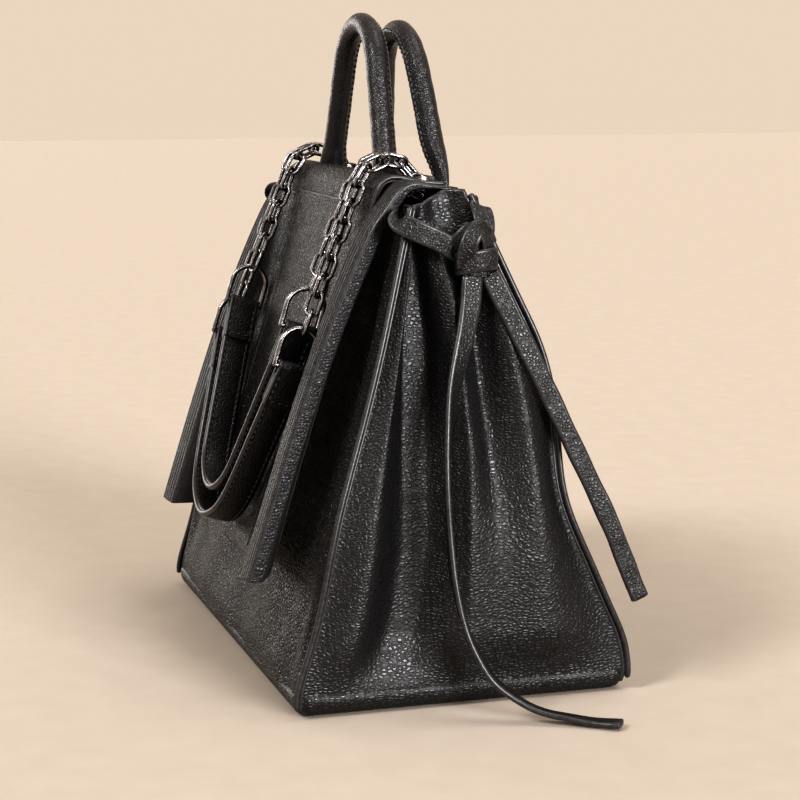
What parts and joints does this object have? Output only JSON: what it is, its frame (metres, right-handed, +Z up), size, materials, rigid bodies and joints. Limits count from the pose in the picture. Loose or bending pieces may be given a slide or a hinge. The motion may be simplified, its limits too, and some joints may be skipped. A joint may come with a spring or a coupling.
{
  "type": "satchel bag",
  "caption": "Soft leather satchel with a front flap, tube handles, knotted side ties and a doubled shoulder strap of chain and leather bands.",
  "frame": {"origin": "middle of the base's underside", "axes": "+X along the bag's width to its right side, -Y to the front where the flap hangs, +Z up"},
  "size_m": [0.4964, 0.239, 0.414],
  "materials": {
    "body_leather": "pebbled black leather, semi-gloss",
    "flap_leather": "smooth black leather, satin",
    "edge_leather": "black painted edge and piping, satin",
    "strap_leather": "pebbled black strap leather, semi-gloss",
    "chain_metal": "gunmetal plating, polished",
    "lining_cloth": "woven cotton lining",
    "board": "fibre board",
    "rope": "twisted cotton rope",
    "zip_metal": "dark nickel"
  },
  "bodies": {
    "root": {"base_panel": "body_leather", "base_board": "board", "base_welt": "edge_leather", "front_panel": "body_leather", "back_panel": "body_leather", "gusset_right": "body_leather", "gusset_left": "body_leather", "piping_front_right": "edge_leather", "piping_front_left": "edge_leather", "piping_back_right": "edge_leather", "piping_back_left": "edge_leather", "front_facing": "edge_leather", "back_facing": "edge_leather", "lining": "lining_cloth", "pocket_bag": "lining_cloth", "zip_tape": "lining_cloth", "zip_teeth": "zip_metal", "flap_hinge_strip": "flap_leather", "rear_foot_right": "strap_leather", "rear_foot_left": "strap_leather", "tie_front_right": "strap_leather", "tie_back_right": "strap_leather", "tie_knot_right": "strap_leather", "tie_tail_long_right": "strap_leather", "tie_tail_short_right": "strap_leather", "tie_front_left": "strap_leather", "tie_back_left": "strap_leather", "tie_knot_left": "strap_leather", "tie_tail_long_left": "strap_leather", "tie_tail_short_left": "strap_leather"},
    "flap": {"flap_sheet": "flap_leather", "flap_lining": "lining_cloth", "flap_overlay": "flap_leather", "flap_border_right": "flap_leather", "flap_border_left": "flap_leather", "eyelets": "chain_metal", "chain_bars": "chain_metal", "chain_crest_right": "chain_metal", "chain_crest_left": "chain_metal", "front_foot_right": "strap_leather", "front_foot_left": "strap_leather"},
    "front_handle": {"front_handle_cover": "strap_leather", "front_handle_rope": "rope"},
    "rear_handle": {"rear_handle_cover": "strap_leather", "rear_handle_rope": "rope"},
    "strap": {"chain_inner_right": "chain_metal", "chain_inner_left": "chain_metal", "chain_outer_right": "chain_metal", "chain_outer_left": "chain_metal", "ring_inner_right": "chain_metal", "ring_inner_left": "chain_metal", "ring_outer_right": "chain_metal", "ring_outer_left": "chain_metal", "band_inner": "strap_leather", "band_outer": "strap_leather", "tabs_inner": "strap_leather", "tabs_outer": "strap_leather"},
    "zip_slider": {"zip_slider": "zip_metal"},
    "zip_pull": {"zip_pull": "zip_metal"}
  },
  "joints": [
    {"name": "flap_open", "type": "hinge", "parent": "root", "child": "flap", "pos_m": [0, 0.01, 0.308], "axis": [-1, 0, 0], "range_deg": [0, 100]},
    {"name": "rear_handle_tilt", "type": "hinge", "parent": "root", "child": "rear_handle", "pos_m": [0, 0.0246, 0.306], "axis": [-1, 0, 0], "range_deg": [0, 115]},
    {"name": "front_handle_tilt", "type": "hinge", "parent": "flap", "child": "front_handle", "pos_m": [0, -0.0241, 0.318], "axis": [1, 0, 0], "range_deg": [0, 80]},
    {"name": "strap_swing", "type": "hinge", "parent": "flap", "child": "strap", "pos_m": [0, -0.04232, 0.3089], "axis": [-1, 0, 0], "range_deg": [0, 60]},
    {"name": "zip_slide", "type": "slide", "parent": "root", "child": "zip_slider", "axis": [1, 0, 0], "range_m": [0, 0.145]},
    {"name": "zip_pull_swing", "type": "hinge", "parent": "zip_slider", "child": "zip_pull", "pos_m": [-0.073, 0.02874, 0.23632], "axis": [-1, 0, 0], "range_deg": [-20, 78]}
  ],
  "couplings": [
    {"joint": "rear_handle_tilt", "follows": "flap_open", "ratio": 1.15}
  ]
}
